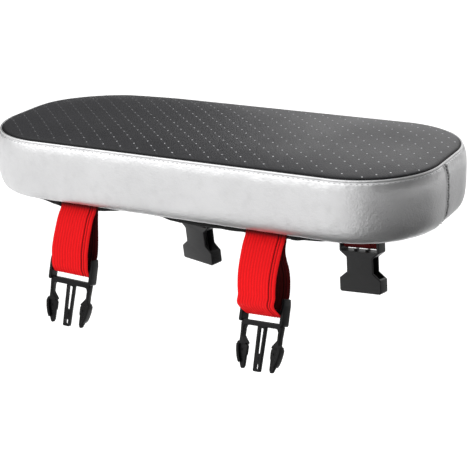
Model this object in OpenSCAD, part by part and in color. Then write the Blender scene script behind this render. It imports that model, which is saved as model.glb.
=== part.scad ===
// Passenger cushion for a bicycle's rear carrier.
// Padded seat with a dotted top, a pale side band and a dark base, held to the
// carrier by four webbing loops with side-release buckle halves.
// Frame: +X along the seat, +Z up, origin at the middle of the flat underside.

/* [Cushion] */
// Length of the cushion
cushion_l = 350; // [340:1:360]
// Width of the cushion
cushion_w = 154; // [150:1:158]
// Corner radius seen from above
corner_r = 60; // [50:1:66]
// Height of the rim under the top panel's edge
rim_z = 49; // [47:0.5:50]
// Rise of the top panel from rim to middle
crown = 3; // [1:0.5:5]
// Thickness of the cover material
skin_t = 1.2; // [1:0.1:1.4]

/* [Webbing loops] */
// Width of the webbing
web_w = 30; // [28:0.5:30.5]
// Thickness of the webbing
web_t = 1.5; // [1:0.1:1.6]

/* [Buckles] */
// Radius of the bar that the webbing goes round
bar_r = 1.8; // [1.6:0.1:1.8]
// Depth of the plug's cheeks beside the webbing
plug_t = 8.5; // [8:0.5:10]
// Depth of the outer walls of the plug's leaves
leaf_t = 6.4; // [5.6:0.2:7.4]
// Thickness of the socket
socket_t = 11; // [10.8:0.1:12]
// Wall thickness of the socket
socket_wall = 1.4; // [1.2:0.1:1.5]

/* [Hidden] */
$fn = 64;

charcoal = [0.27, 0.27, 0.28];
silver = [0.84, 0.84, 0.85];
black = [0.08, 0.08, 0.09];
red = [0.80, 0.10, 0.12];
foam_grey = [0.85, 0.83, 0.75];
thread_grey = [0.55, 0.55, 0.56];

// gap kept between the foam and the covers
gap = 0.2;
// piping: radius and centre (inset from the outline, height)
pipe_r = 1.1;
pipe_d = 3.9;
pipe_z = rim_z - 1;
// hem: inset from the outline and height
hem_d = 10;
hem_z = 4;
// height of the band's widest line
belly_z = 26;
// underside: where the flat begins
flat_d = 18;
// place of the band's closing seam along the right end
seam_y = -11;
// half sides of the middle rectangle
hx = cushion_l / 2 - corner_r;
hy = cushion_w / 2 - corner_r;

// ---- sections, as [inset from the outline, height] ----

function top_z(d) = rim_z + crown * (1 - pow(1 - min(d - 5.2, 36) / 36, 2));
top_ds = [5.2, 8, 11, 15, 20, 26, 33, 42, corner_r];

function band_d(z) = 2.6 * pow((z - belly_z) / 20.8, 2);
band_zs = [46.8, 44, 41, 38, 34, 30];
arc_steps = [0, 15, 30, 45, 60, 75, 90];

function top_section() = concat(
    [for (d = top_ds) [d, top_z(d)]],
    [for (i = [len(top_ds) - 1 : -1 : 0]) [top_ds[i], top_z(top_ds[i]) - 1.4]]);

function band_outer() = concat(
    [for (z = band_zs) [band_d(z), z]],
    [for (a = arc_steps) [hem_d * (1 - cos(a)), belly_z - (belly_z - hem_z) * sin(a)]]);

// inner line of the band, moved in by e more than the skin
function band_inner(e) = concat(
    [for (z = band_zs) [band_d(z) + skin_t + e, z]],
    [for (a = arc_steps) [hem_d - (hem_d - skin_t - e) * cos(a),
                          belly_z - (belly_z - hem_z - skin_t - e) * sin(a)]]);

function reversed(l) = [for (i = [len(l) - 1 : -1 : 0]) l[i]];

// underside: outer or inner line, from hem to flat
function base_line(e) = [for (a = [0, 15, 30, 45, 60, 75, 90])
    [flat_d - (flat_d - 10.4 - e) * cos(a), hem_z - (hem_z - e) * sin(a)]];

function foam_section() = concat(
    [for (d = concat([5.6], [for (i = [1 : len(top_ds) - 1]) top_ds[i]])) [d, top_z(d) - 1.4 - gap]],
    [[corner_r, skin_t]],
    reversed(base_line(skin_t + gap * 0.999)) ,
    reversed(band_inner(gap)));

// ---- sweeps round the outline ----

// closed ring of a section round the rounded rectangle
module ring(section) {
    for (c = [[1, 1, 0], [-1, 1, 90], [-1, -1, 180], [1, -1, 270]])
        translate([c[0] * hx, c[1] * hy, 0]) rotate([0, 0, c[2]])
            rotate_extrude(angle = 90)
                polygon([for (p = section) [corner_r - p[0], p[1]]]);
    for (m = [0, 1]) {
        mirror([0, m, 0]) translate([-hx, 0, 0]) rotate([90, 0, 90])
            linear_extrude(2 * hx)
                polygon([for (p = section) [cushion_w / 2 - p[0], p[1]]]);
        mirror([m, 0, 0]) translate([0, hy, 0]) rotate([90, 0, 0])
            linear_extrude(2 * hy)
                polygon([for (p = section) [cushion_l / 2 - p[0], p[1]]]);
    }
}

// block that fills the middle rectangle between two heights
module middle(z0, z1) {
    translate([-hx, -hy, z0]) cube([2 * hx, 2 * hy, z1 - z0]);
}

// round cord swept round the outline
module cord_ring(d, z, r) {
    rr = corner_r - d;
    for (c = [[1, 1, 0], [-1, 1, 90], [-1, -1, 180], [1, -1, 270]])
        translate([c[0] * hx, c[1] * hy, z]) rotate([0, 0, c[2]])
            rotate_extrude(angle = 90) translate([rr, 0]) circle(r = r, $fn = 24);
    for (m = [0, 1]) {
        mirror([0, m, 0]) translate([-hx, cushion_w / 2 - d, z]) rotate([0, 90, 0])
            cylinder(r = r, h = 2 * hx, $fn = 24);
        mirror([m, 0, 0]) translate([cushion_l / 2 - d, -hy, z]) rotate([-90, 0, 0])
            cylinder(r = r, h = 2 * hy, $fn = 24);
    }
}

// ---- webbing loops ----
// Each loop is described in the plane across the seat as [outward, height],
// outward being the distance from the seat's long centre line.

// places: [top middle x, side (-1 near, 1 far), bar centre, tilt, yaw, roll,
// angle where the outer layer meets the bar]
loop_fl = [-83.4, -1, [-83, -79.5, -42.7], 15.8, -3.2, 2.9, -30];
loop_fr = [66.8, -1, [70.6, -77.5, -49.2], 22.8, 9.4, -5.35, -45];
loop_rl = [-69, 1, [-68, 77, -50], -4, 20, -2.5, 0];
loop_rr = [77, 1, [77.2, 76, -52], 6, 7.5, -6, 0];

tail_z = 13;
// insets of the two tails in the hem
tail_out = 10.9;
tail_in = 12.6;
wrap_r = bar_r + 0.35 + web_t / 2;

// front (outer) layer from hem to bar, [outward, height]
route_fl = [[67.6, -0.5], [72.3, -6], [76.8, -14], [80.6, -22], [83.4, -30], [84.5, -36], [84.1, -40]];
route_fr = [[67.6, -0.5], [71.9, -5], [76.9, -11], [81.7, -17], [85.6, -23], [88.3, -30], [88.8, -36.5], [87.2, -43]];
route_rl = [[66, -1], [68, -9], [71.5, -18], [75.5, -27], [79, -38]];
route_rr = [[66, -1], [68, -9], [71.5, -18], [75.5, -28], [78.6, -40]];
// back (inner) layer from bar to hem
back_fl = [[73.4, -38.5], [70.2, -32], [68.4, -25], [67.1, -17], [66, -9], [65, -2.5]];
back_fr = [[70.4, -43.5], [67, -37.5], [65.2, -30], [65.4, -22], [67.4, -14.5], [68.2, -8], [65.6, -1.5]];
back_rl = [[70, -42.5], [66.4, -34], [64.8, -24], [64.2, -12], [64.3, -3]];
back_rr = [[70, -45.5], [66.8, -36], [65, -25], [64.3, -12], [64.3, -3]];

// smooth curve through points
function cr(p0, p1, p2, p3, t) = 0.5 * ((2 * p1) + (p2 - p0) * t
    + (2 * p0 - 5 * p1 + 4 * p2 - p3) * t * t + (3 * p1 - p0 - 3 * p2 + p3) * t * t * t);
function smooth(p, n) = concat([for (i = [0 : len(p) - 2], k = [0 : n - 1])
    cr(p[max(i - 1, 0)], p[i], p[i + 1], p[min(i + 2, len(p) - 1)], k / n)], [p[len(p) - 1]]);

// whole centre line in the plane: tail, outer layer, wrap, inner layer, tail
function loop_line(front, back, bar, a0) = smooth(concat(
    [[cushion_w / 2 - tail_out, tail_z], [cushion_w / 2 - tail_out, 8], [cushion_w / 2 - tail_out, 3.6]],
    front,
    [for (i = [0 : 6]) let (a = a0 - (a0 + 165) * i / 6)
        [bar[0] + wrap_r * cos(a), bar[1] + wrap_r * sin(a)]],
    back,
    [[cushion_w / 2 - tail_in, 3.6], [cushion_w / 2 - tail_in, 8], [cushion_w / 2 - tail_in, tail_z]]), 2);

// direction of a buckle's bar
function bar_dir(tilt, yaw, roll) =
    [cos(yaw) * cos(roll) - sin(roll) * sin(tilt) * sin(yaw),
     -sin(yaw) * cos(roll) - sin(roll) * sin(tilt) * cos(yaw),
     -sin(roll) * cos(tilt)];

function unit(v) = v / norm(v);
function ease(t) = let (c = max(0, min(1, t))) c * c * (3 - 2 * c);

module webbing_loop(place, front, back) {
    side = place[1];
    bar = place[2];
    top_x = place[0];
    dir = bar_dir(place[3], place[4], place[5]);
    line = loop_line(front, back, [abs(bar[1]), bar[2]], place[6]);
    n = len(line);
    // centre points and the direction across the webbing at each of them; round
    // the bar and through the buckle's slot the webbing runs square to the bar
    cs = [for (p = line)
        let (w = ease((2 - p[1]) / (-5 - bar[2])), k = ease((bar[2] + 16 - p[1]) / 9),
             c = [top_x + (bar[0] - top_x) * w, side * p[0], p[1]])
        c - dir * ((c - bar) * dir * k)];
    us = [for (p = line) let (w = ease((2 - p[1]) / (-5 - bar[2])))
        unit([1, 0, 0] * (1 - w) + dir * w)];
    ts = [for (i = [0 : n - 1]) unit(cs[min(i + 1, n - 1)] - cs[max(i - 1, 0)])];
    ns = [for (i = [0 : n - 1]) unit(cross(us[i], ts[i]))];
    h = web_w / 2;
    q = web_t / 2;
    pts = [for (i = [0 : n - 1], c = [[-1, -1], [1, -1], [1, 1], [-1, 1]])
        cs[i] + us[i] * (c[0] * h) + ns[i] * (c[1] * q)];
    faces = concat(
        [[0, 2, 1], [0, 3, 2]],
        [for (i = [0 : n - 2], k = [0 : 3], h = [0, 1])
            let (a = 4 * i + k, b = 4 * i + (k + 1) % 4)
            h == 0 ? [a, b + 4, a + 4] : [a, b, b + 4]],
        [[4 * n - 1, 4 * n - 3, 4 * n - 2], [4 * n - 1, 4 * n - 4, 4 * n - 3]]);
    polyhedron(pts, faces, convexity = 6);
}

// ---- buckle halves, drawn about the middle of their bar ----
// x along the bar, z up towards the seat, y through the thickness

// outline [x, distance below the bar] stood up and given a thickness
module slab(points, t) {
    rotate([90, 0, 0]) translate([0, 0, -t / 2]) linear_extrude(t)
        polygon([for (p = points) [p[0], -p[1]]]);
}

module both_sides() {
    children();
    mirror([1, 0, 0]) children();
}

module plug() {
    difference() {
        union() {
            both_sides() {
                // thin deep cheek beside the webbing
                slab([[15.4, -7.6], [15.5, -8.8], [15.9, -9.6], [16.6, -9.6], [17.1, -8.8], [17.6, -5],
                      [17.7, 8], [17, 9], [15.4, 9]], plug_t);
                // arm with its inner hook
                slab([[12, 9.4], [16.4, 9.4], [15.9, 17], [15.9, 22.4], [17.4, 23.1], [17.7, 24.6],
                      [10.9, 24.6], [10.4, 23.5], [14.2, 18.8], [14.2, 13.8], [13.8, 12.3], [12.9, 11.3], [12, 11]], 5);
                // leaf: a deep outer wall and a thin plate inside it
                slab([[15.7, 24.2], [17.7, 24.2], [17.7, 26.5], [17.2, 29.8], [16.4, 33], [15.4, 35.6], [14.2, 37.4],
                      [12.9, 36.2], [13.6, 34.8], [14.5, 32.4], [15.2, 29.5], [15.7, 26.5]], leaf_t);
                slab([[10.4, 24.4], [16.6, 24.4], [16.6, 28], [16.2, 32], [15.2, 35.6], [13.9, 38.6], [13.1, 40.4],
                      [12.2, 41.1], [11.1, 40.6], [10.4, 38.8], [10.2, 32.4], [9.6, 31], [9.6, 26]], 2.4);
            }
            // crossbar under the slot
            slab([[-15.6, 7.5], [15.6, 7.5], [15.6, 11.2], [-15.6, 11.2]], 5.5);
            // guide prong
            slab([[-3.3, 11], [3.3, 11], [2.7, 41], [2.2, 41.6], [-2.2, 41.6], [-2.7, 41]], 3);
            translate([0, -1.9, -32.6]) rotate([-90, 0, 0]) cylinder(r = 1.3, h = 3.8, $fn = 32);
            // bar for the webbing
            translate([-15.8, 0, 0]) rotate([0, 90, 0]) cylinder(r = bar_r, h = 31.6);
        }
        // slit and window in the prong
        slab([[-1.7, 12.2], [1.7, 12.2], [1.35, 29.5], [-1.35, 29.5]], 12);
        slab([[-1.2, 36.6], [1.2, 36.6], [1.2, 40], [-1.2, 40]], 12);
        // dimples in the leaf plates
        both_sides() for (s = [-1, 1]) translate([12.9, s * 1.2, -28.2]) rotate([90, 0, 0])
            translate([0, 0, -0.5]) cylinder(r = 1.1, h = 1, $fn = 32);
    }
}

module socket() {
    half_outline = [[17.5, -3], [17.5, 5.8], [11.5, 10.4], [11.5, 22], [18.2, 27.1], [18.2, 36.8], [17, 38]];
    difference() {
        union() {
            difference() {
                slab(concat(half_outline, [for (i = [len(half_outline) - 1 : -1 : 0])
                    [-half_outline[i][0], half_outline[i][1]]]), socket_t);
                // space for the webbing round the bar
                slab([[-15.7, -9], [15.7, -9], [15.7, 5.8], [-15.7, 5.8]], socket_t + 2);
            }
            // bar for the webbing
            translate([-16, 0, 0]) rotate([0, 90, 0]) cylinder(r = bar_r, h = 32);
            // ribs at the foot of the slot
            for (x = [-5, 5]) translate([x - 1.1, -2, -6.4]) cube([2.2, 4, 2.2]);
        }
        // space that takes the plug
        slab([[-16.8, 9.4], [16.8, 9.4], [16.8, 39], [-16.8, 39]], socket_t - 2 * socket_wall);
    }
    // guide rails for the prong
    for (x = [-5.2, 5.2], s = [-1, 1])
        translate([x - 0.5, s > 0 ? socket_t / 2 - socket_wall - 1 : -socket_t / 2 + socket_wall, -34])
            cube([1, 1, 22]);
}

// put a buckle half at its place in its loop
module placed(place) {
    translate(place[2]) rotate([0, 0, -place[4]]) rotate([-place[3], 0, 0]) rotate([0, place[5], 0])
        children();
}

// slots that the webbing tails pass through
module tail_slots(z0, z1, d0, d1) {
    for (l = [loop_fl, loop_fr, loop_rl, loop_rr])
        translate([l[0] - web_w / 2 - 0.5,
                   l[1] > 0 ? cushion_w / 2 - d1 : -cushion_w / 2 + d0, z0])
            cube([web_w + 1, d1 - d0, z1 - z0]);
}

// ---- nodes ----

module foam_core() {
    color(foam_grey) difference() {
        union() {
            ring(foam_section());
            middle(skin_t, top_z(corner_r) - 1.4 - gap);
        }
        tail_slots(0, tail_z + 0.5, 9, 13.7);
    }
}

module top_panel() {
    color(charcoal) {
        ring(top_section());
        middle(top_z(corner_r) - 1.4, top_z(corner_r));
    }
}

module side_band() {
    color(silver) ring(concat(band_outer(), reversed(band_inner(0))));
}

module edge_piping() {
    color(silver) cord_ring(pipe_d, pipe_z, pipe_r);
}

module bottom_panel() {
    color(black) difference() {
        union() {
            ring(concat(base_line(0), [[corner_r, 0], [corner_r, skin_t]], reversed(base_line(skin_t))));
            middle(0, skin_t);
        }
        tail_slots(-1, 6, 9, 13.7);
    }
}

// line of thread in the groove under the piping
module edge_stitching() {
    color(thread_grey) cord_ring(band_d(45) - 0.37, 45, 0.35);
}

// line of thread under the band's turned edge
module hem_stitching() {
    d = 7;
    color(thread_grey)
        cord_ring(d, belly_z - (belly_z - hem_z) * sqrt(1 - pow(1 - d / hem_d, 2)) - 0.35, 0.3);
}

// line of thread down the band's closing seam
module closing_seam_stitching() {
    line = [for (z = [43 : -4 : 27]) [band_d(z), z]];
    low = [for (a = [0 : 15 : 60]) [hem_d * (1 - cos(a)), belly_z - (belly_z - hem_z) * sin(a)]];
    face = concat(line, low);
    color(thread_grey) translate([0, seam_y + 0.3, 0]) rotate([90, 0, 0]) linear_extrude(0.6)
        polygon([for (p = concat([for (q = face) [q[0] - 0.02, q[1]]],
                                 reversed([for (q = face) [q[0] - 0.6, q[1]]])))
            [cushion_l / 2 - p[0], p[1]]]);
}

module strap_loop_front_left() { color(red) webbing_loop(loop_fl, route_fl, back_fl); }
module strap_loop_front_right() { color(red) webbing_loop(loop_fr, route_fr, back_fr); }
module strap_loop_rear_left() { color(red) webbing_loop(loop_rl, route_rl, back_rl); }
module strap_loop_rear_right() { color(red) webbing_loop(loop_rr, route_rr, back_rr); }

module buckle_plug_left() { color(black) placed(loop_fl) plug(); }
module buckle_plug_right() { color(black) placed(loop_fr) plug(); }
module buckle_socket_left() { color(black) placed(loop_rl) socket(); }
module buckle_socket_right() { color(black) placed(loop_rr) socket(); }

foam_core();
top_panel();
side_band();
edge_piping();
bottom_panel();
edge_stitching();
hem_stitching();
closing_seam_stitching();
strap_loop_front_left();
strap_loop_front_right();
strap_loop_rear_left();
strap_loop_rear_right();
buckle_plug_left();
buckle_plug_right();
buckle_socket_left();
buckle_socket_right();
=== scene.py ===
import bpy
import bmesh
import math
import numpy as np
from mathutils import Vector, Matrix


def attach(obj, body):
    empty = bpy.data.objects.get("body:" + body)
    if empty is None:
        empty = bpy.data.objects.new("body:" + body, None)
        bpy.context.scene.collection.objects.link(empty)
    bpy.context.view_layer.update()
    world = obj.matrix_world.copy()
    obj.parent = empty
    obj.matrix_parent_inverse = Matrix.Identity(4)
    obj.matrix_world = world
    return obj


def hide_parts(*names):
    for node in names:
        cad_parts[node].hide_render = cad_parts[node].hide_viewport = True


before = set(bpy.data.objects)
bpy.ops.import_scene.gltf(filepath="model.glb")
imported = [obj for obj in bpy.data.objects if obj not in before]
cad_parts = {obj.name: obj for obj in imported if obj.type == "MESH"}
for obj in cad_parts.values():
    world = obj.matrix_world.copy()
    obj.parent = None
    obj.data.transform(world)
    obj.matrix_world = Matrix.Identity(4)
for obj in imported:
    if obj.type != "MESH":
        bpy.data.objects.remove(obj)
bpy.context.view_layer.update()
scene = bpy.context.scene

# ---------------------------------------------------------------- sizes, mm
L, W, R = 350.0, 154.0, 60.0
HX, HY = L / 2 - R, W / 2 - R
HEM_Z = 4.0
SEAM_Y = -11.0
LOOPS = {
    "fl": dict(top=-83.4, side=-1, bar=(-83, -79.5, -42.7), tilt=15.8, yaw=-3.2, roll=2.9, meet=-30,
               front=[(67.6, -0.5), (72.3, -6), (76.8, -14), (80.6, -22), (83.4, -30), (84.5, -36), (84.1, -40)],
               back=[(73.4, -38.5), (70.2, -32), (68.4, -25), (67.1, -17), (66, -9), (65, -2.5)]),
    "fr": dict(top=66.8, side=-1, bar=(70.6, -77.5, -49.2), tilt=22.8, yaw=9.4, roll=-5.35, meet=-45,
               front=[(67.6, -0.5), (71.9, -5), (76.9, -11), (81.7, -17), (85.6, -23), (88.3, -30), (88.8, -36.5),
                      (87.2, -43)],
               back=[(70.4, -43.5), (67, -37.5), (65.2, -30), (65.4, -22), (67.4, -14.5), (68.2, -8), (65.6, -1.5)]),
    "rl": dict(top=-69, side=1, bar=(-68, 77, -50), tilt=-4, yaw=20, roll=-2.5, meet=0,
               front=[(66, -1), (68, -9), (71.5, -18), (75.5, -27), (79, -38)],
               back=[(70, -42.5), (66.4, -34), (64.8, -24), (64.2, -12), (64.3, -3)]),
    "rr": dict(top=77, side=1, bar=(77.2, 76, -52), tilt=6, yaw=7.5, roll=-6, meet=0,
               front=[(66, -1), (68, -9), (71.5, -18), (75.5, -28), (78.6, -40)],
               back=[(70, -45.5), (66.8, -36), (65, -25), (64.3, -12), (64.3, -3)]),
}
WEB_W, WEB_T, BAR_R = 30.0, 1.5, 1.8


# ---------------------------------------------------------------- helpers
def add_mesh(name, verts_mm, faces, uv=None, smooth=True, angle=None):
    me = bpy.data.meshes.new(name)
    me.from_pydata([tuple(float(c) * 0.001 for c in v) for v in verts_mm], [], [list(map(int, f)) for f in faces])
    me.update()
    if uv is not None:
        layer = me.uv_layers.new(name="UVMap")
        uv = np.asarray(uv, float)
        loops = np.zeros(len(me.loops), np.int32)
        me.loops.foreach_get("vertex_index", loops)
        layer.data.foreach_set("uv", uv[loops].astype(np.float32).ravel())
    if smooth:
        me.shade_smooth()
        if angle:
            me.set_sharp_from_angle(angle=math.radians(angle))
    ob = bpy.data.objects.new(name, me)
    scene.collection.objects.link(ob)
    return ob


def outline(step=1.6):
    """Points of the outer contour, anticlockwise from the middle of the right end, with inward normals."""
    pts, nrm = [], []

    def straight(a, b, n, fine=1.0):
        k = max(2, int(round(math.dist(a, b) / (step * fine))))
        for i in range(k):
            t = i / k
            pts.append((a[0] + (b[0] - a[0]) * t, a[1] + (b[1] - a[1]) * t))
            nrm.append(n)

    def corner(cx, cy, a0):
        k = int(round(math.pi / 2 * R / step))
        for i in range(k):
            a = math.radians(a0) + math.pi / 2 * i / k
            pts.append((cx + R * math.cos(a), cy + R * math.sin(a)))
            nrm.append((-math.cos(a), -math.sin(a)))

    straight((L / 2, -HY), (L / 2, HY), (-1, 0), 0.25)
    corner(HX, HY, 0)
    straight((HX, W / 2), (-HX, W / 2), (0, -1))
    corner(-HX, HY, 90)
    straight((-L / 2, HY), (-L / 2, -HY), (1, 0))
    corner(-HX, -HY, 180)
    straight((-HX, -W / 2), (HX, -W / 2), (0, 1))
    corner(HX, -HY, 270)
    p = np.array(pts)
    n = np.array(nrm)
    seg = np.linalg.norm(np.roll(p, -1, 0) - p, axis=1)
    s = np.concatenate([[0], np.cumsum(seg)[:-1]])
    return p, n, s, float(seg.sum())


P0, N0, S0, PERIM = outline()
NS = len(P0)
SEAM_S = SEAM_Y + HY            # arc length of the closing seam from the first point


def hash01(i, k=0):
    return (math.sin((i + 1) * 127.1 + k * 311.7) * 43758.5453) % 1.0


def wave(s, k, phase, amp):
    return amp * np.sin(2 * math.pi * k * s / PERIM + phase)


def wobble(s, seed, ks, amp):
    """Smooth closed variation along the outline."""
    out = np.zeros_like(s)
    for j, k in enumerate(ks):
        out += wave(s, k, 6.283 * hash01(j, seed), amp * (0.5 + hash01(j, seed + 7)))
    return out / len(ks)


def smoothstep(a, b, x):
    t = np.clip((np.asarray(x, float) - a) / (b - a), 0, 1)
    return t * t * (3 - 2 * t)


def catmull(p, n):
    p = [np.array(q, float) for q in p]
    out = []
    for i in range(len(p) - 1):
        p0, p1, p2, p3 = p[max(i - 1, 0)], p[i], p[i + 1], p[min(i + 2, len(p) - 1)]
        for k in range(n):
            t = k / n
            out.append(0.5 * ((2 * p1) + (p2 - p0) * t + (2 * p0 - 5 * p1 + 4 * p2 - p3) * t * t
                              + (3 * p1 - p0 - 3 * p2 + p3) * t ** 3))
    out.append(p[-1])
    return np.array(out)


def seam_dist(s):
    d = np.abs(s - SEAM_S)
    return np.minimum(d, PERIM - d)


def settle(v):
    """The cover's far left corner sits a little lower and rounder than the others, less so towards the hem."""
    v = np.array(v, float)
    x, y, z = v[..., 0], v[..., 1], v[..., 2]
    w = smoothstep(-70, -150, x) * smoothstep(5, 62, y) * np.clip(z / 48.0, 0, 1)
    out = v.copy()
    out[..., 0] += 1.5 * w
    out[..., 1] -= 1.8 * w
    out[..., 2] -= 1.2 * w
    return out


def ring_faces(rows, cols, close_rows=False):
    """Quads between rows of a ring grid whose columns close round the outline; rows x cols vertices."""
    f = []
    last = rows if close_rows else rows - 1
    for r in range(last):
        r2 = (r + 1) % rows
        for c in range(cols):
            c2 = (c + 1) % cols
            f.append((r * cols + c, r * cols + c2, r2 * cols + c2, r2 * cols + c))
    return f


# ---------------------------------------------------------------- materials
def new_mat(name):
    m = bpy.data.materials.new(name)
    m.use_nodes = True
    nt = m.node_tree
    for n in list(nt.nodes):
        nt.nodes.remove(n)
    out = nt.nodes.new("ShaderNodeOutputMaterial")
    b = nt.nodes.new("ShaderNodeBsdfPrincipled")
    nt.links.new(b.outputs[0], out.inputs[0])
    return m, nt, b


def node(nt, kind, **vals):
    n = nt.nodes.new(kind)
    for k, v in vals.items():
        if k.startswith("in_"):
            key = k[3:]
            n.inputs[int(key) if key.isdigit() else key.replace("_", " ")].default_value = v
        else:
            setattr(n, k, v)
    return n


def math_node(nt, op, a, b=None, c=None, clamp=False):
    n = nt.nodes.new("ShaderNodeMath")
    n.operation = op
    n.use_clamp = clamp
    for i, v in enumerate((a, b, c)):
        if v is None:
            continue
        if isinstance(v, (int, float)):
            n.inputs[i].default_value = v
        else:
            nt.links.new(v, n.inputs[i])
    return n.outputs[0]


def mix_col(nt, fac, a, b, mode="MIX"):
    n = nt.nodes.new("ShaderNodeMix")
    n.data_type = "RGBA"
    n.blend_type = mode
    for sock, v in ((n.inputs[0], fac), (n.inputs[6], a), (n.inputs[7], b)):
        if isinstance(v, (int, float)):
            sock.default_value = v
        elif isinstance(v, (tuple, list)):
            sock.default_value = tuple(v) + ((1,) if len(v) == 3 else ())
        else:
            nt.links.new(v, sock)
    return n.outputs[2]


def obj_coord(nt):
    return node(nt, "ShaderNodeTexCoord").outputs["Object"]


def uv_coord(nt):
    return node(nt, "ShaderNodeTexCoord").outputs["UV"]


def noise_tex(nt, vec, scale, detail=3.0, rough=0.5, dist=0.0):
    n = node(nt, "ShaderNodeTexNoise")
    n.inputs["Scale"].default_value = scale
    n.inputs["Detail"].default_value = detail
    n.inputs["Roughness"].default_value = rough
    n.inputs["Distortion"].default_value = dist
    nt.links.new(vec, n.inputs["Vector"])
    return n.outputs["Fac"]


def voronoi(nt, vec, scale, feature="F1", rand=1.0, out="Distance"):
    n = node(nt, "ShaderNodeTexVoronoi")
    n.feature = feature
    n.inputs["Scale"].default_value = scale
    n.inputs["Randomness"].default_value = rand
    nt.links.new(vec, n.inputs["Vector"])
    return n.outputs[out]


def bump(nt, bsdf, height, dist, strength=1.0, prev=None):
    n = node(nt, "ShaderNodeBump")
    n.inputs["Distance"].default_value = dist
    n.inputs["Strength"].default_value = strength
    nt.links.new(height, n.inputs["Height"])
    if prev is not None:
        nt.links.new(prev, n.inputs["Normal"])
    if bsdf is not None:
        nt.links.new(n.outputs[0], bsdf.inputs["Normal"])
    return n.outputs[0]


def map_range(nt, v, a, b, c, d, clamp=True):
    n = node(nt, "ShaderNodeMapRange")
    n.clamp = clamp
    nt.links.new(v, n.inputs[0])
    for i, x in enumerate((a, b, c, d)):
        n.inputs[1 + i].default_value = x
    return n.outputs[0]


def mat_top():
    """Charcoal leatherette with a diagonal lattice of pale pin dots joined by fine pressed lines."""
    m, nt, b = new_mat("charcoal_leatherette")
    co = obj_coord(nt)
    sep = node(nt, "ShaderNodeSeparateXYZ")
    nt.links.new(co, sep.inputs[0])
    x, y = sep.outputs[0], sep.outputs[1]
    pitch = 0.0099
    x0, y0 = 0.0729, -0.0442
    u = math_node(nt, "MULTIPLY", math_node(nt, "SUBTRACT", math_node(nt, "SUBTRACT", x, x0),
                                            math_node(nt, "SUBTRACT", y, y0)), 0.70711 / pitch)
    v = math_node(nt, "MULTIPLY", math_node(nt, "ADD", math_node(nt, "SUBTRACT", x, x0),
                                            math_node(nt, "SUBTRACT", y, y0)), 0.70711 / pitch)

    def cell(t):
        return math_node(nt, "SUBTRACT", math_node(nt, "FRACT", math_node(nt, "ADD", t, 0.5)), 0.5)

    fu, fv = cell(u), cell(v)
    r = math_node(nt, "SQRT", math_node(nt, "ADD", math_node(nt, "MULTIPLY", fu, fu),
                                        math_node(nt, "MULTIPLY", fv, fv)))
    dot = map_range(nt, r, 0.066, 0.046, 0.0, 1.0)
    # pressed lines: along u where v is near a lattice row, and the other way
    au, av = math_node(nt, "ABSOLUTE", fu), math_node(nt, "ABSOLUTE", fv)
    line_u = map_range(nt, av, 0.030, 0.008, 0.0, 1.0)
    line_v = map_range(nt, au, 0.026, 0.006, 0.0, 1.0)
    dash_u = map_range(nt, math_node(nt, "SINE", math_node(nt, "MULTIPLY", u, 6.2832 * 5)), -0.2, 0.5, 0.25, 1.0)
    dash_v = map_range(nt, math_node(nt, "SINE", math_node(nt, "MULTIPLY", v, 6.2832 * 5)), -0.2, 0.5, 0.0, 0.45)
    lines = math_node(nt, "MAXIMUM", math_node(nt, "MULTIPLY", line_u, dash_u), math_node(nt, "MULTIPLY", line_v, dash_v))
    fine = noise_tex(nt, co, 900.0, 3.0, 0.6)
    grain = voronoi(nt, co, 1100.0)
    broad = noise_tex(nt, co, 18.0, 3.0, 0.55)
    base = mix_col(nt, map_range(nt, broad, 0.3, 0.7, 0, 1), (0.0125, 0.0125, 0.0150), (0.0190, 0.0190, 0.0220))
    base = mix_col(nt, map_range(nt, grain, 0.0, 0.6, 0, 0.65), base, (0.038, 0.038, 0.041))
    base = mix_col(nt, math_node(nt, "MULTIPLY", lines, map_range(nt, x, -0.06, 0.06, 0.75, 0.4)), base, (0.075, 0.075, 0.080))
    dotv = math_node(nt, "MULTIPLY", dot, map_range(nt, fine, 0.3, 0.6, 0.75, 1.0))
    dotv = math_node(nt, "MULTIPLY", dotv, map_range(nt, x, -0.11, -0.03, 0.22, 1.0))
    base = mix_col(nt, dotv, base, (0.85, 0.85, 0.88))
    # painted shade: the rolled edge is darkened almost to black and dulled, by how far its normal tips from straight
    # up, where it dives to the piping
    geo = node(nt, "ShaderNodeNewGeometry")
    up = node(nt, "ShaderNodeSeparateXYZ")
    nt.links.new(geo.outputs["Normal"], up.inputs[0])
    roll = map_range(nt, up.outputs[2], 0.985, 0.86, 0.0, 1.0)
    # painted shade: near-black mixed in on the rolled edge
    base = mix_col(nt, roll, base, (0.006, 0.006, 0.007))
    nt.links.new(base, b.inputs["Base Color"])
    nt.links.new(map_range(nt, broad, 0.3, 0.7, 0.36, 0.46), b.inputs["Roughness"])
    nt.links.new(map_range(nt, roll, 0.0, 1.0, 0.5, 0.12), b.inputs["Specular IOR Level"])
    n1 = bump(nt, None, grain, 0.00016, 0.8)
    n2 = bump(nt, None, lines, -0.00016, 0.8, n1)
    bump(nt, b, dot, 0.00022, 0.8, n2)
    return m


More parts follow.
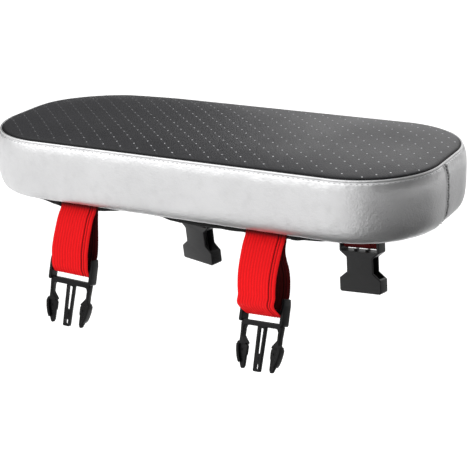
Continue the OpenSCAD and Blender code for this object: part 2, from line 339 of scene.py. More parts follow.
def mat_silver(name="silver_leatherette", tone=0.0):
    m, nt, b = new_mat(name)
    co = obj_coord(nt)
    grain = voronoi(nt, co, 950.0)
    grain2 = voronoi(nt, co, 420.0, "SMOOTH_F1")
    fine = noise_tex(nt, co, 1500.0, 2.0, 0.5)
    broad = noise_tex(nt, co, 26.0, 4.0, 0.6)
    spots = noise_tex(nt, co, 140.0, 3.0, 0.6)
    base = mix_col(nt, map_range(nt, broad, 0.3, 0.7, 0, 1), (0.585 + tone, 0.585 + tone, 0.59 + tone),
                   (0.64 + tone, 0.64 + tone, 0.645 + tone))
    base = mix_col(nt, map_range(nt, spots, 0.50, 0.72, 0, 0.40), base, (0.54, 0.54, 0.545))
    base = mix_col(nt, map_range(nt, grain, 0.25, 0.0, 0, 0.25), base, (0.44, 0.44, 0.45))
    nt.links.new(base, b.inputs["Base Color"])
    nt.links.new(map_range(nt, spots, 0.3, 0.7, 0.37, 0.45), b.inputs["Roughness"])
    b.inputs["Metallic"].default_value = 0.87
    b.inputs["Specular IOR Level"].default_value = 0.5
    n1 = bump(nt, None, grain, 0.00014, 0.6)
    n2 = bump(nt, None, grain2, 0.00024, 0.45, n1)
    bump(nt, b, fine, 0.00005, 0.4, n2)
    return m


def mat_base():
    m, nt, b = new_mat("black_base_fabric")
    co = obj_coord(nt)
    mp = node(nt, "ShaderNodeMapping")
    mp.inputs["Rotation"].default_value = (0, 0, 0)
    nt.links.new(co, mp.inputs["Vector"])
    sep = node(nt, "ShaderNodeSeparateXYZ")
    nt.links.new(mp.outputs[0], sep.inputs[0])
    k = 6.2832 / 0.0009
    wx = math_node(nt, "SINE", math_node(nt, "MULTIPLY", sep.outputs[0], k))
    wy = math_node(nt, "SINE", math_node(nt, "MULTIPLY", sep.outputs[1], k))
    weave = math_node(nt, "ADD", math_node(nt, "MULTIPLY", wx, wy), math_node(nt, "MULTIPLY", math_node(nt, "ADD", wx, wy), 0.25))
    fuzz = noise_tex(nt, co, 1300.0, 3.0, 0.6)
    broad = noise_tex(nt, co, 30.0, 3.0, 0.5)
    base = mix_col(nt, map_range(nt, weave, -1, 1, 0, 1), (0.002, 0.002, 0.0022), (0.006, 0.006, 0.0065))
    base = mix_col(nt, map_range(nt, broad, 0.4, 0.7, 0, 0.5), base, (0.008, 0.008, 0.0085))
    nt.links.new(base, b.inputs["Base Color"])
    nt.links.new(map_range(nt, fuzz, 0.3, 0.7, 0.7, 0.9), b.inputs["Roughness"])
    b.inputs["Specular IOR Level"].default_value = 0.2
    b.inputs["Sheen Weight"].default_value = 0.02
    b.inputs["Sheen Roughness"].default_value = 0.5
    n1 = bump(nt, None, weave, 0.00012, 0.5)
    bump(nt, b, fuzz, 0.00006, 0.5, n1)
    return m


def mat_thread(name, col):
    m, nt, b = new_mat(name)
    uv = uv_coord(nt)
    sep = node(nt, "ShaderNodeSeparateXYZ")
    nt.links.new(uv, sep.inputs[0])
    twist = math_node(nt, "SINE", math_node(nt, "ADD", math_node(nt, "MULTIPLY", sep.outputs[0], 9.0),
                                            math_node(nt, "MULTIPLY", sep.outputs[1], 12.566)))
    co = obj_coord(nt)
    fuzz = noise_tex(nt, co, 4000.0, 2.0, 0.6)
    base = mix_col(nt, map_range(nt, twist, -1, 1, 0, 1), tuple(c * 0.65 for c in col), col)
    base = mix_col(nt, map_range(nt, fuzz, 0.4, 0.7, 0, 0.3), base, tuple(min(1, c * 1.5) for c in col))
    nt.links.new(base, b.inputs["Base Color"])
    b.inputs["Roughness"].default_value = 0.6
    b.inputs["Sheen Weight"].default_value = 0.2
    bump(nt, b, twist, 0.00008, 0.7)
    return m


def mat_webbing():
    """Red elastic webbing: ribs are in the mesh, the cross weave and fibres are here."""
    m, nt, b = new_mat("red_elastic_webbing")
    uv = uv_coord(nt)          # x along in mm, y across in mm
    co = obj_coord(nt)
    sep = node(nt, "ShaderNodeSeparateXYZ")
    nt.links.new(uv, sep.inputs[0])
    a, c = sep.outputs[0], sep.outputs[1]
    rib = math_node(nt, "COSINE", math_node(nt, "MULTIPLY", c, 6.2832 / 2.2))
    pick = math_node(nt, "SINE", math_node(nt, "ADD", math_node(nt, "MULTIPLY", a, 6.2832 / 0.85),
                                           math_node(nt, "MULTIPLY", rib, 0.8)))
    loops = math_node(nt, "MULTIPLY", pick, map_range(nt, rib, -0.6, 0.8, 0.2, 1.0))
    fib = noise_tex(nt, co, 2500.0, 3.0, 0.65)
    broad = noise_tex(nt, co, 60.0, 3.0, 0.55)
    base = mix_col(nt, map_range(nt, rib, -1.0, 0.5, 0, 1), (0.62, 0.004, 0.006), (0.88, 0.0055, 0.008))
    base = mix_col(nt, map_range(nt, pick, -1.0, 0.4, 0.30, 0.0), base, (0.40, 0.003, 0.005))
    base = mix_col(nt, map_range(nt, fib, 0.5, 0.75, 0.0, 0.20), base, (0.90, 0.02, 0.024))
    base = mix_col(nt, map_range(nt, broad, 0.35, 0.7, 0.0, 0.25), base, (0.66, 0.005, 0.008))
    for off, wide, amt in ((10.1, 0.34, 0.95), (12.1, 0.22, 0.7)):
        line = map_range(nt, math_node(nt, "ABSOLUTE", math_node(nt, "SUBTRACT", c, off)), wide, wide * 1.6, amt, 0.0)
        line = math_node(nt, "MULTIPLY", line, map_range(nt, pick, -1.0, 0.2, 1.0, 0.75))
        base = mix_col(nt, line, base, (0.03, 0.001, 0.002))
    # painted shade: the inner attribute mixes the red almost to black inside the loops, on the back layer and up under
    # the hem, where shade falls
    inner = node(nt, "ShaderNodeAttribute")
    inner.attribute_name = "inner"
    base = mix_col(nt, math_node(nt, "MULTIPLY", inner.outputs["Fac"], 0.93), base, (0.016, 0.001, 0.0015))
    nt.links.new(base, b.inputs["Base Color"])
    nt.links.new(map_range(nt, fib, 0.3, 0.7, 0.70, 0.85), b.inputs["Roughness"])
    b.inputs["Specular IOR Level"].default_value = 0.12
    n1 = bump(nt, None, loops, 0.00018, 0.55)
    bump(nt, b, fib, 0.00008, 0.5, n1)
    return m


def mat_plastic(name="moulded_black_plastic", shade=1.0, shine=0.34):
    m, nt, b = new_mat(name)
    co = obj_coord(nt)
    fine = noise_tex(nt, co, 2200.0, 2.0, 0.5)
    broad = noise_tex(nt, co, 90.0, 4.0, 0.6)
    flow = noise_tex(nt, co, 30.0, 2.0, 0.5, 0.6)
    base = mix_col(nt, map_range(nt, broad, 0.3, 0.7, 0, 1), (0.0045 * shade, 0.0045 * shade, 0.005 * shade),
                   (0.009 * shade, 0.009 * shade, 0.0098 * shade))
    nt.links.new(base, b.inputs["Base Color"])
    nt.links.new(math_node(nt, "ADD", map_range(nt, broad, 0.3, 0.7, 0.28, 0.40), map_range(nt, flow, 0.3, 0.7, -0.03, 0.05)),
                 b.inputs["Roughness"])
    b.inputs["Specular IOR Level"].default_value = shine
    n1 = bump(nt, None, fine, 0.00004, 0.35)
    bump(nt, b, broad, 0.00015, 0.15, n1)
    return m


def mat_foam():
    m, nt, b = new_mat("open_cell_foam")
    co = obj_coord(nt)
    cells = voronoi(nt, co, 700.0)
    base = mix_col(nt, map_range(nt, cells, 0.0, 0.6, 0, 1), (0.55, 0.52, 0.42), (0.75, 0.72, 0.62))
    nt.links.new(base, b.inputs["Base Color"])
    b.inputs["Roughness"].default_value = 0.95
    bump(nt, b, cells, 0.0003, 0.8)
    return m


# the piping's silver is the band's silver with tone 0.05, a little lighter: painted highlight on the lip that faces up
M_TOP, M_SILVER, M_PIPE_HIGHLIT = mat_top(), mat_silver(), mat_silver("silver_piping", 0.05)
M_BASE, M_WEB, M_PLASTIC, M_FOAM = mat_base(), mat_webbing(), mat_plastic(), mat_foam()
M_PLUG = mat_plastic("moulded_black_plug", 0.6, 0.15)
M_THREAD = mat_thread("grey_thread", (0.30, 0.30, 0.31))
M_THREAD_DARK = mat_thread("dark_thread", (0.016, 0.016, 0.018))

# ---------------------------------------------------------------- cushion
def at(s_idx, d, z):
    """Points at inset d and height z for every outline point (arrays broadcast)."""
    x = P0[s_idx, 0] + N0[s_idx, 0] * d
    y = P0[s_idx, 1] + N0[s_idx, 1] * d
    return np.stack([x, y, z], -1)


ALL = np.arange(NS)

# side band: outer line from under the piping, over the shoulder, down the belly and under to the hem
BAND_PTS = [(3.6, 47.1), (3.05, 46.65), (2.5, 46.15), (2.05, 45.55), (1.75, 44.8), (1.45, 43.9), (1.1, 42.7), (0.75, 41.2),
            (0.4, 38.8), (0.15, 35.6), (0.0, 31.0), (0.0, 25.5), (0.1, 20.0), (0.45, 15.2), (1.15, 11.2), (2.2, 8.2),
            (3.6, 6.1), (5.4, 4.95), (7.4, 4.4), (9.6, 4.2), (10.0, 4.5)]
band_line = catmull(BAND_PTS, 3)


def band_surface(offset, trim=0):
    rows = []
    line = band_line[: len(band_line) - trim] if trim else band_line
    tan = np.gradient(line, axis=0)
    tan /= np.linalg.norm(tan, axis=1)[:, None]
    nor = np.stack([tan[:, 1], -tan[:, 0]], 1)      # points outwards for a line going down
    nor *= np.where(nor[:, 0:1] > 0, -1, 1) * 1.0
    depth = np.cumsum(np.concatenate([[0], np.linalg.norm(np.diff(line, axis=0), axis=1)]))
    total = depth[-1]
    sd = seam_dist(S0)
    for i, (d, z) in enumerate(line):
        top = math.exp(-((depth[i] - 2.6) / 3.2) ** 2)
        low = math.exp(-((total - depth[i] - 2.0) / 5.0) ** 2)
        mid = math.sin(math.pi * min(1, depth[i] / total))
        # gathers held by the stitches at both seams
        gather = 0.05 * top * np.cos(2 * math.pi * S0 / (PERIM / 226)) \
            + top * wobble(S0, 3, [23, 37, 61, 97], 0.16) + low * wobble(S0, 5, [37, 53, 71, 89], 0.45) \
            + mid * wobble(S0, 9, [5, 9, 14, 22], 0.40)
        # closing seam: a groove between two raised turns, drawn in at the foot
        foot = float(smoothstep(0.62, 0.92, depth[i] / total))
        seam = 2.3 * np.exp(-(sd / 0.6) ** 2) - (0.75 + 0.2 * math.sin(depth[i] * 0.9)) * np.exp(-((sd - 2.3) / 1.2) ** 2) \
            + (0.45 + 1.1 * foot) * np.exp(-(sd / 5.0) ** 2)
        dd = d - gather * 0.8 + seam * (1 if offset == 0 else 0.4)
        if offset:
            dd = dd + abs(nor[i, 0]) * offset
            zz = z + (offset * abs(nor[i, 1]) if z < 30 else -offset * abs(nor[i, 1]))
        else:
            zz = z
        rows.append(at(ALL, dd, np.full(NS, zz) if np.isscalar(zz) else zz))
    return np.array(rows)


outer = settle(band_surface(0))
inner = settle(band_surface(1.1))
nr = len(outer)
grid = np.concatenate([outer, inner[::-1]])
faces = ring_faces(len(grid), NS, close_rows=True)
band = add_mesh("side_band_cover", grid.reshape(-1, 3), [f[::-1] for f in faces], angle=60)
band.data.materials.append(M_SILVER)


# piping: a cord in its own cover, a little uneven
def tube_ring(name, d0, z0, r, sides=20, uneven=0.0):
    v = []
    for k in range(sides):
        a = 2 * math.pi * k / sides
        rr = r + wobble(S0, 21, [29, 47, 67], uneven)
        v.append(at(ALL, d0 - rr * math.cos(a), z0 + rr * math.sin(a)))
    g = settle(v)
    return add_mesh(name, g.reshape(-1, 3), ring_faces(sides, NS, close_rows=True))


piping = tube_ring("edge_piping_cover", 3.8, 47.5, 0.85, 20, 0.04)
piping.data.materials.append(M_PIPE_HIGHLIT)


def top_height(d):
    t = np.clip((d - 5.2) / 36.0, 0, 1)
    roll = 0.95 * (1 - np.exp(-np.clip(d - 4.8, 0, None) / 1.1))
    return 48.4 + roll + 2.65 * (1 - (1 - t) ** 2)


def covered(name, ds, height, thick, d_start=None, extra=None, flip=False):
    """A cover that closes over the middle: rings by inset, then drawn to the long centre line."""
    centre = np.stack([np.clip(P0[:, 0], -98, 98), np.zeros(NS)], 1)
    ringsxy, insets = [], []
    for d in ds:
        dd = np.full(NS, float(d)) if d_start is None else np.where(d < 30, d_start + (d - ds[0]) * (30 - d_start) / (30 - ds[0]), d)
        ringsxy.append(P0 + N0 * dd[:, None])
        insets.append(dd)
    last = ringsxy[-1]
    for t in (0.15, 0.35, 0.6, 0.85, 1.0):
        xy = last * (1 - t) + centre * t
        ringsxy.append(xy)
        insets.append(insets[ds.__len__() - 1] + t * 17)
    rows = []
    for k, (xy, dd) in enumerate(zip(ringsxy, insets)):
        z = height(dd, xy)
        if extra is not None:
            z = z + extra(dd, xy)
        rows.append(np.concatenate([xy, z[:, None]], 1))
    up = np.array(rows)
    dn = up.copy()
    dn[:, :, 2] += thick
    n = len(up)
    grid = settle(np.concatenate([up[::-1], dn]))
    f = ring_faces(2 * n, NS)
    ob = add_mesh(name, grid.reshape(-1, 3), f if flip else [q[::-1] for q in f], smooth=False)
    bm = bmesh.new()
    bm.from_mesh(ob.data)
    bmesh.ops.remove_doubles(bm, verts=bm.verts, dist=2e-6)
    bmesh.ops.recalc_face_normals(bm, faces=bm.faces)
    bm.to_mesh(ob.data)
    bm.free()
    ob.data.shade_smooth()
    ob.data.set_sharp_from_angle(angle=math.radians(50))
    return ob


def top_z(dd, xy):
    z = top_height(dd)
    x, y = xy[:, 0], xy[:, 1]
    soft = 0.25 * np.sin(x / 41.0 + 0.7) * np.sin(y / 29.0 + 1.1) + 0.15 * np.sin(x / 17.0 + y / 23.0)
    return z + soft * smoothstep(8, 30, dd)


top = covered("top_panel_cover", [4.82, 4.95, 5.12, 5.3, 5.6, 6.1, 6.8, 7.7, 9, 11, 13.5, 16.5, 20, 24, 28, 33, 38, 43, 48, 53, 57.5],
              top_z, -1.3)
top.data.materials.append(M_TOP)

# base: behind the webbing the panel's edge is set back, and it bags down beside the loops
strap_x = {-1: [(LOOPS["fl"]["top"]), (LOOPS["fr"]["top"])], 1: [LOOPS["rl"]["top"], LOOPS["rr"]["top"]]}


def base_start():
    d = np.full(NS, 10.35)
    for side in (-1, 1):
        on = np.abs(P0[:, 1] - side * W / 2) < 0.5
        for x in strap_x[side]:
            near = 1 - smoothstep(15.6, 17.6, np.abs(P0[:, 0] - x))
            d = np.where(on, np.maximum(d, 10.35 + 3.5 * near), d)
    return d


BAG = {-1: [(-127, -2.3), (-117, -0.8), (-108, 1.6), (-99, 3.2), (-82, 3.2), (-68, 2.2), (-60, 1.0), (-50, -1.0), (-43, -2.3),
            (-24, -2.3), (-17, -0.8), (-10, 0.7), (-2, 1.6), (10, 2.0), (43, 1.7), (66, 1.9), (82, 2.1), (89, 1.7), (97, 0.7),
            (108, -0.4), (118, -1.6), (124, -2.3)],
       1: [(-118, -2.3), (-100, 0.4), (-72, 1.6), (-50, 0.2), (0, 0), (50, 0.4), (77, 1.4), (100, 0.2), (120, -2.3)]}


def bag_amount():
    a = np.full(NS, -2.3)
    for side in (-1, 1):
        xs, vs = zip(*BAG[side])
        v = np.interp(P0[:, 0], xs, vs, left=-2.3, right=-2.3)
        sideness = smoothstep(0.35, 0.9, -side * N0[:, 1])
        a += (v + 2.3) * sideness
    return a


D_START = base_start()
BAGGED = bag_amount()


def base_z(dd, xy):
    d = dd
    t = np.clip((18.0 - d) / 7.65, 0, 1)
    z = 4.0 - 4.0 * np.sqrt(np.clip(1 - t * t, 0, 1))
    rise = smoothstep(0.0, 2.6, d - D_START) * (1 - smoothstep(15.5, 34, d))
    z = z - BAGGED * rise
    ripple = wobble(S0, 33, [41, 57, 73, 101], 0.5) * smoothstep(0.2, 2.0, d - D_START) * (1 - smoothstep(14, 24, d))
    x, y = xy[:, 0], xy[:, 1]
    soft = 0.18 * np.sin(x / 23.0 + 1.3) * np.sin(y / 19.0)
    return np.minimum(z + ripple * 0.6, 4.0) + np.where(d > 20, soft * 0, 0)


base = covered("bottom_panel_cover", [10.35, 10.6, 11, 11.6, 12.4, 13.4, 14.6, 16, 17.5, 19.5, 22, 25, 29, 34, 40, 46, 52, 57.5],
               base_z, 1.15, d_start=D_START, flip=True)
base.data.materials.append(M_BASE)


# foam block inside the covers, drawn in round the foot where the webbing's tails and the base's edge lie
def foam_block():
    low = [(57.5, 1.5), (38, 1.5), (32, 2.7), (26, 4.3), (17, 4.7), (15.6, 6.0), (14.8, 9.0), (14.6, 13.6), (12, 15.5),
           (7, 18), (4, 22), (2.8, 28), (2.9, 36), (3.8, 41), (5.6, 44.4), (8, 46.0)]
    centre = np.stack([np.clip(P0[:, 0], -98, 98), np.zeros(NS)], 1)
    rows = []
    last = P0 + N0 * 57.5
    for t in (1.0, 0.5):
        rows.append(np.concatenate([last * (1 - t) + centre * t, np.full((NS, 1), 1.5)], 1))
    for d, z in low:
        rows.append(np.concatenate([P0 + N0 * d, np.full((NS, 1), z)], 1))
    for d in (12, 18, 28, 40, 57.5):
        rows.append(np.concatenate([P0 + N0 * d, np.full((NS, 1), float(top_height(np.array(float(d)))) - 2.3)], 1))
    for t in (0.5, 1.0):
        rows.append(np.concatenate([last * (1 - t) + centre * t, np.full((NS, 1), 49.3)], 1))
    grid = settle(np.array(rows))
    ob = add_mesh("foam_block", grid.reshape(-1, 3), ring_faces(len(rows), NS), smooth=False)
    bm = bmesh.new()
    bm.from_mesh(ob.data)
    bmesh.ops.remove_doubles(bm, verts=bm.verts, dist=2e-6)
    bmesh.ops.recalc_face_normals(bm, faces=bm.faces)
    bm.to_mesh(ob.data)
    bm.free()
    ob.data.shade_smooth()
    ob.data.set_sharp_from_angle(angle=math.radians(50))
    ob.data.materials.append(M_FOAM)
    return ob


foam = foam_block()

# ---------------------------------------------------------------- stitches
def stitch_run(name, path, normals, length, pitch, r, mat, lift=0.0, sides=8, rings=6, skip=None):
    """Separate stitches along a path: each rises from its hole, lies on the cover and goes down again."""
    path = np.asarray(path, float)
    normals = np.asarray(normals, float)
    seg = np.linalg.norm(np.diff(path, axis=0), axis=1)
    cum = np.concatenate([[0], np.cumsum(seg)])
    total = cum[-1]

    def sample(t):
        out = np.array([np.interp(t, cum, path[:, k]) for k in range(3)])
        nn = np.array([np.interp(t, cum, normals[:, k]) for k in range(3)])
        return out, nn / np.linalg.norm(nn)

    verts, faces, uvs = [], [], []
    count = int(total / pitch)
    pitch = total / count
    for i in range(count):
        a = i * pitch + 0.5 * (pitch - length) + 0.15 * (hash01(i, 3) - 0.5)
        if skip is not None and skip(a):
            continue
        prev = None
        base_i = len(verts)
        for k in range(rings + 1):
            t = k / rings
            c, n = sample(min(total, a + length * t))
            c2, _ = sample(min(total, a + length * t + 0.05))
            tan = c2 - c
            if np.linalg.norm(tan) < 1e-9:
                tan = prev
            tan = tan / np.linalg.norm(tan)
            prev = tan
            side = np.cross(tan, n)
            side /= np.linalg.norm(side)
            dip = (abs(2 * t - 1)) ** 4
            rr = r * (1 - 0.55 * dip)
            cc = c + n * (lift - 1.3 * r * dip) + side * 0.06 * math.sin(3.1 * t)
            for q in range(sides):
                ang = 2 * math.pi * q / sides
                verts.append(cc + side * math.cos(ang) * rr + n * math.sin(ang) * rr)
                uvs.append((length * t, q / sides))
        for k in range(rings):
            for q in range(sides):
                q2 = (q + 1) % sides
                faces.append((base_i + k * sides + q, base_i + k * sides + q2,
                              base_i + (k + 1) * sides + q2, base_i + (k + 1) * sides + q))
        faces.append(tuple(base_i + q for q in range(sides))[::-1])
        faces.append(tuple(base_i + rings * sides + q for q in range(sides)))
    ob = add_mesh(name, verts, [f[::-1] for f in faces], uv=uvs)
    ob.data.materials.append(mat)
    return ob


def band_row(z_target, upper=True):
    """The band's own surface line nearest a height: its points and outward normals."""
    zs = band_line[:, 1]
    half = range(0, 30) if upper else range(30, len(band_line))
    i = min(half, key=lambda k: abs(zs[k] - z_target))
    a, b = outer[max(i - 1, 0)], outer[min(i + 1, nr - 1)]
    p = outer[i]
    along = np.roll(p, -1, 0) - np.roll(p, 1, 0)
    n = np.cross(along, b - a)
    n /= np.linalg.norm(n, axis=1)[:, None]
    flip = np.sum(n[:, :2] * N0, 1) > 0
    n[flip] *= -1
    return p, n


p, n = band_row(46.15)
loop_p, loop_n = np.concatenate([p, p[:1]]), np.concatenate([n, n[:1]])
edge_st = stitch_run("edge_stitches", loop_p, loop_n, 1.9, 3.6, 0.2, M_THREAD, lift=0.0)
p, n = band_row(4.45, upper=False)
n[:, 2] = -np.abs(n[:, 2])
loop_p, loop_n = np.concatenate([p, p[:1]]), np.concatenate([n, n[:1]])
hem_st = stitch_run("hem_stitches", loop_p, loop_n, 2.9, 4.0, 0.25, M_THREAD_DARK, lift=0.12)

# closing seam: slanted stitches that hold the two turns together
col = int(np.argmin(seam_dist(S0)))
sverts, sn = [], []
seam_paths = []
i0, i1 = 9, nr - 10
seam_objs_v, seam_objs_n = [], []
for i in range(i0, i1):
    seam_objs_v.append(outer[i, col])
    seam_objs_n.append(np.array([1.0, 0, 0.0]) * max(0.05, math.cos(math.radians(0))))
seam_line = np.array(seam_objs_v)
tan = np.gradient(seam_line, axis=0)
seam_nrm = np.stack([-tan[:, 2], np.zeros(len(tan)), tan[:, 0]], 1)
seam_nrm /= np.linalg.norm(seam_nrm, axis=1)[:, None]
seam_nrm[seam_nrm[:, 0] < 0] *= -1
cum = np.concatenate([[0], np.cumsum(np.linalg.norm(np.diff(seam_line, axis=0), axis=1))])
verts, faces, uvs = [], [], []
count = int(cum[-1] / 1.9)
for i in range(count):
    a = (i + 0.3) * cum[-1] / count
    c = np.array([np.interp(a, cum, seam_line[:, k]) for k in range(3)])
    c2 = np.array([np.interp(min(a + 1.1, cum[-1]), cum, seam_line[:, k]) for k in range(3)])
    nn = np.array([np.interp(a, cum, seam_nrm[:, k]) for k in range(3)])
    b0 = len(verts)
    A = c + np.array([0, -0.95 - 0.4 * hash01(i, 5), 0])
    B = c2 + np.array([0, 0.8 + 0.5 * hash01(i, 6), 0])
    steps = 8
    for k in range(steps + 1):
        t = k / steps
        q = A * (1 - t) + B * t
        lift = 2.5 + 0.25 * hash01(i, 8) - 0.5 * (2 * t - 1) ** 2 - (0.55 if k in (0, steps) else 0)
        q = q + nn * lift
        tt = (B - A) / np.linalg.norm(B - A)
        sd = np.cross(tt, nn)
        for m in range(8):
            ang = 2 * math.pi * m / 8
            verts.append(q + (sd * math.cos(ang) + nn * math.sin(ang)) * (0.40 + 0.1 * hash01(i, 9)))
            uvs.append((t * 3.6, m / 8))
    for k in range(steps):
        for m in range(8):
            m2 = (m + 1) % 8
            faces.append((b0 + k * 8 + m, b0 + k * 8 + m2, b0 + (k + 1) * 8 + m2, b0 + (k + 1) * 8 + m))
    faces.append(tuple(b0 + m for m in range(8))[::-1])
    faces.append(tuple(b0 + steps * 8 + m for m in range(8)))
seam_st = add_mesh("closing_seam_stitches", verts, [f[::-1] for f in faces], uv=uvs)
seam_st.data.materials.append(M_THREAD_DARK)


# ---------------------------------------------------------------- webbing
def bar_dir(tilt, yaw, roll):
    t, y, r = map(math.radians, (tilt, yaw, roll))
    return np.array([math.cos(y) * math.cos(r) - math.sin(r) * math.sin(t) * math.sin(y),
                     -math.sin(y) * math.cos(r) - math.sin(r) * math.sin(t) * math.cos(y),
                     -math.sin(r) * math.cos(t)])


def webbing(name, lp):
    wrap = BAR_R + 0.35 + WEB_T / 2
    bar = lp["bar"]
    b2 = (abs(bar[1]), bar[2])
    pts = [(W / 2 - 10.9, 13), (W / 2 - 10.9, 8), (W / 2 - 10.9, 3.6)] + lp["front"] \
        + [(b2[0] + wrap * math.cos(math.radians(a)), b2[1] + wrap * math.sin(math.radians(a)))
           for a in (lp["meet"] - (lp["meet"] + 165) * i / 6 for i in range(7))] + lp["back"] \
        + [(W / 2 - 12.6, 3.6), (W / 2 - 12.6, 8), (W / 2 - 12.6, 13)]
    line = catmull(pts, 12)
    # even spacing
    seg = np.linalg.norm(np.diff(line, axis=0), axis=1)
    cum = np.concatenate([[0], np.cumsum(seg)])
    n = int(cum[-1] / 1.0)
    ts = np.linspace(0, cum[-1], n + 1)
    line = np.stack([np.interp(ts, cum, line[:, 0]), np.interp(ts, cum, line[:, 1])], 1)
    # round the bar and through the buckle's slot the webbing runs square to the bar
    w = smoothstep(0, 1, (2 - line[:, 1]) / (-5 - bar[2]))
    k = smoothstep(0, 1, (bar[2] + 16 - line[:, 1]) / 9)
    bd = bar_dir(lp["tilt"], lp["yaw"], lp["roll"])
    cs = np.stack([lp["top"] + (bar[0] - lp["top"]) * w, lp["side"] * line[:, 0], line[:, 1]], 1)
    cs = cs - bd[None] * ((cs - np.array(bar)) @ bd * k)[:, None]
    us = np.array([1.0, 0, 0])[None] * (1 - w)[:, None] + bd[None] * w[:, None]
    us /= np.linalg.norm(us, axis=1)[:, None]
    tn = np.gradient(cs, axis=0)
    tn /= np.linalg.norm(tn, axis=1)[:, None]
    ns = np.cross(us, tn)
    ns /= np.linalg.norm(ns, axis=1)[:, None]
    # section across the webbing
    half = WEB_W / 2
    m = 108
    vv = np.linspace(-half, half, m)
    ribs = 0.09 * np.cos(2 * math.pi * vv / 2.2)
    groove = 0.50 * np.exp(-((vv - (half - 4.9)) / 0.42) ** 2) + 0.28 * np.exp(-((vv - (half - 2.9)) / 0.35) ** 2)
    edge = np.sqrt(np.clip(1 - np.clip((np.abs(vv) - (half - 0.75)) / 0.75, 0, 1) ** 2, 0.02, 1))
    hgt = (WEB_T / 2 - 0.02 + ribs - groove) * edge
    verts, uvs = [], []
    length = ts
    for i in range(n + 1):
        ripple = 0.03 * math.sin(length[i] * 1.9)
        for j in range(m):
            verts.append(cs[i] + us[i] * vv[j] + ns[i] * (hgt[j] + ripple * edge[j]))
            uvs.append((length[i], vv[j]))
        for j in range(m - 1, -1, -1):
            verts.append(cs[i] + us[i] * vv[j] - ns[i] * (hgt[j] - ripple * edge[j]))
            uvs.append((length[i], vv[j]))
    k = 2 * m
    faces = []
    for i in range(n):
        for j in range(k):
            j2 = (j + 1) % k
            faces.append((i * k + j, i * k + j2, (i + 1) * k + j2, (i + 1) * k + j))
    for j in range(m - 1):
        faces.append((j, k - 1 - j, k - 2 - j, j + 1))
        e = n * k
        faces.append((e + j, e + j + 1, e + k - 2 - j, e + k - 1 - j))
    ob = add_mesh(name, verts, faces, uv=uvs)
    bm = bmesh.new()
    bm.from_mesh(ob.data)
    bmesh.ops.recalc_face_normals(bm, faces=bm.faces)
    bm.to_mesh(ob.data)
    bm.free()
    ob.data.shade_smooth()
    ob.data.materials.append(M_WEB)
    # painted shade mask: how far each point lies inside the loop or behind it, or up near the hem; the material
    # darkens the red there to stand in for shade
    first = 3 + len(lp["front"])
    t0, t1 = (float(np.interp(i / (len(pts) - 1), np.linspace(0, 1, len(cum)), cum)) for i in (first, first + 6))
    att = ob.data.attributes.new("inner", "FLOAT", "POINT")
    co = np.zeros(len(ob.data.vertices) * 3, np.float32)
    ob.data.vertices.foreach_get("co", co)
    q = co.reshape(-1, 3) * 1000
    c3 = np.stack([cs[:, 0], cs[:, 1], cs[:, 2]], 1)
    near = np.array([int(np.argmin(np.sum((c3 - v) ** 2 - 0, 1) - ((c3 - v) * us).sum(1) ** 2)) for v in q])
    side = np.sum((q - c3[near]) * ns[near], 1)
    out_sign = np.sign(ns[n // 5, 1] * lp["side"])
    inside_face_shade = (side * out_sign < 0).astype(float)
    back = smoothstep(t0 + 0.40 * (t1 - t0), t0 + 0.68 * (t1 - t0), ts[near])
    under_hem_shade = smoothstep(-2.0, 2.5, c3[near][:, 2])
    att.data.foreach_set("value", np.maximum.reduce([inside_face_shade * 0.9, back, under_hem_shade]).astype(np.float32))
    return ob, float(cum[-1])


# ---------------------------------------------------------------- buckles
def fillet(points, radius, seg=5):
    """Rounds the corners of a closed 2-D outline; radius is one number or one for each point."""
    n = len(points)
    rs = radius if isinstance(radius, (list, tuple)) else [radius] * n
    out = []
    for i in range(n):
        p = np.array(points[i], float)
        a = np.array(points[i - 1], float) - p
        b = np.array(points[(i + 1) % n], float) - p
        la, lb = np.linalg.norm(a), np.linalg.norm(b)
        a, b = a / la, b / lb
        cosang = float(np.clip(a @ b, -1, 1))
        ang = math.acos(cosang)
        r = rs[i]
        if r <= 0 or ang > math.radians(172):
            out.append(tuple(p))
            continue
        t = min(r / math.tan(ang / 2), 0.48 * la, 0.48 * lb)
        r = t * math.tan(ang / 2)
        c = p + (a + b) / np.linalg.norm(a + b) * (r / math.sin(ang / 2))
        s, e = p + a * t - c, p + b * t - c
        a0, a1 = math.atan2(s[1], s[0]), math.atan2(e[1], e[0])
        da = (a1 - a0 + math.pi) % (2 * math.pi) - math.pi
        for k in range(seg + 1):
            th = a0 + da * k / seg
            out.append((c[0] + r * math.cos(th), c[1] + r * math.sin(th)))
    return out


def slab(points, t, bev=0.35, y=0.0, seg=3):
    """An outline [x, distance below the bar] stood up with thickness t and rounded edges, in mm."""
    bm = bmesh.new()
    n = len(points)
    lo = [bm.verts.new((p[0], y - t / 2, -p[1])) for p in points]
    hi = [bm.verts.new((p[0], y + t / 2, -p[1])) for p in points]
    bm.faces.new(lo)
    bm.faces.new(hi[::-1])
    for i in range(n):
        j = (i + 1) % n
        bm.faces.new((lo[j], lo[i], hi[i], hi[j]))
    bmesh.ops.recalc_face_normals(bm, faces=bm.faces)
    if bev > 0:
        rim = [e for e in bm.edges if abs(e.verts[0].co.y - e.verts[1].co.y) < 1e-6]
        bmesh.ops.bevel(bm, geom=rim, offset=bev, segments=seg, profile=0.5, affect="EDGES", clamp_overlap=True)
    me = bpy.data.meshes.new("slab")
    bm.to_mesh(me)
    bm.free()
    ob = bpy.data.objects.new("slab", me)
    scene.collection.objects.link(ob)
    return ob


